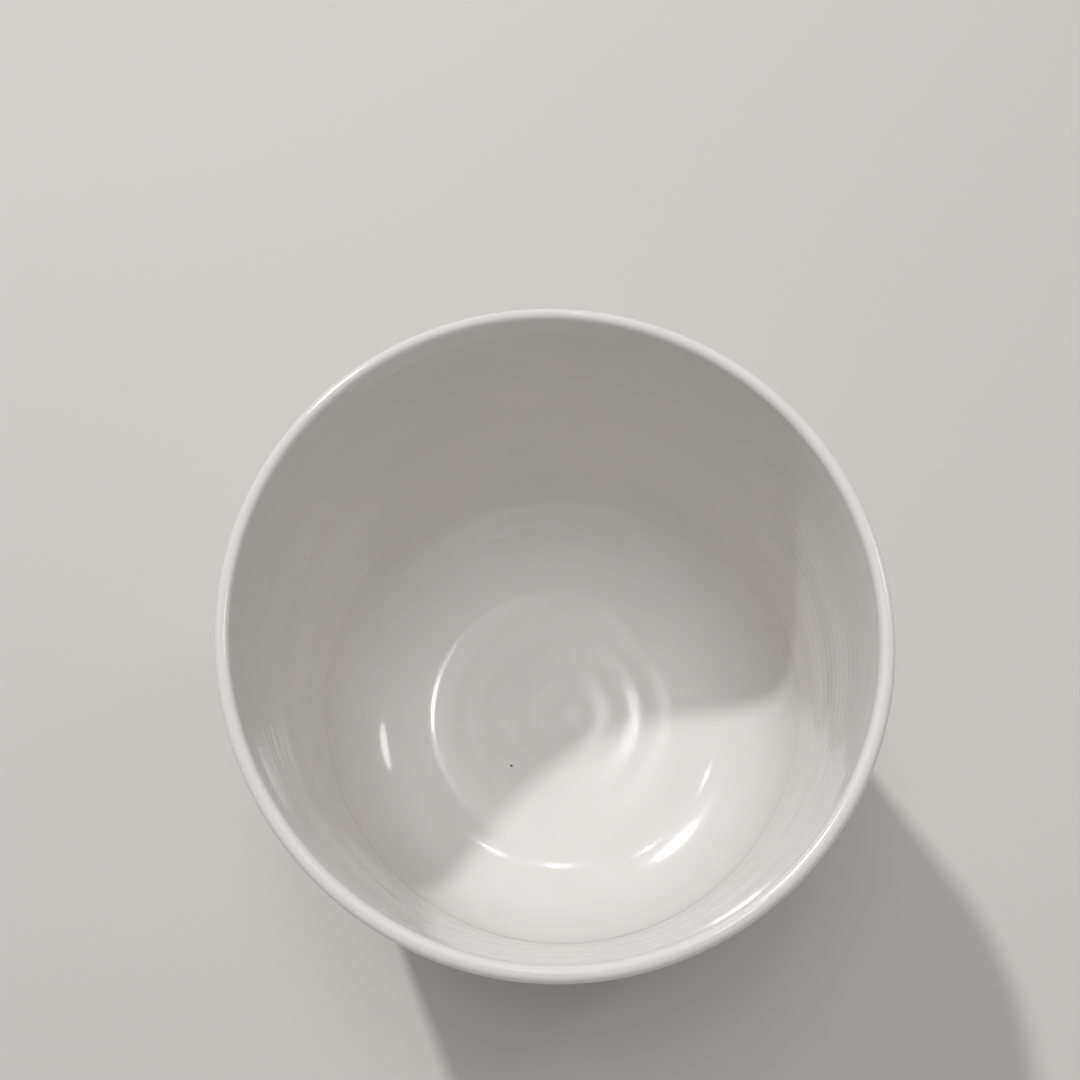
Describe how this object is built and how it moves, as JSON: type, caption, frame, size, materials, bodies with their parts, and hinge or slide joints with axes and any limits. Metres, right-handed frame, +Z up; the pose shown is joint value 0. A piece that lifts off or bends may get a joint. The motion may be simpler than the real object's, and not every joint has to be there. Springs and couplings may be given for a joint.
{
  "type": "sake cup",
  "caption": "Straight-sided white porcelain sake cup with a thin round lip, rounded floor and turned foot ring, glazed but for the foot's standing edge.",
  "frame": {"origin": "on the cup's axis, in the plane that the foot ring stands on", "axes": "+Z up along the cup's axis, from foot to lip; X and Y are free, the cup is round"},
  "size_m": [0.065, 0.065, 0.052],
  "materials": {
    "porcelain": "bare fired porcelain, fine and matte",
    "glaze": "clear glaze over white porcelain, glossy"
  },
  "bodies": {
    "root": {"cup_body": "porcelain", "foot_ring": "porcelain", "inner_glaze": "glaze", "outer_glaze": "glaze", "foot_well_glaze": "glaze"}
  },
  "joints": []
}
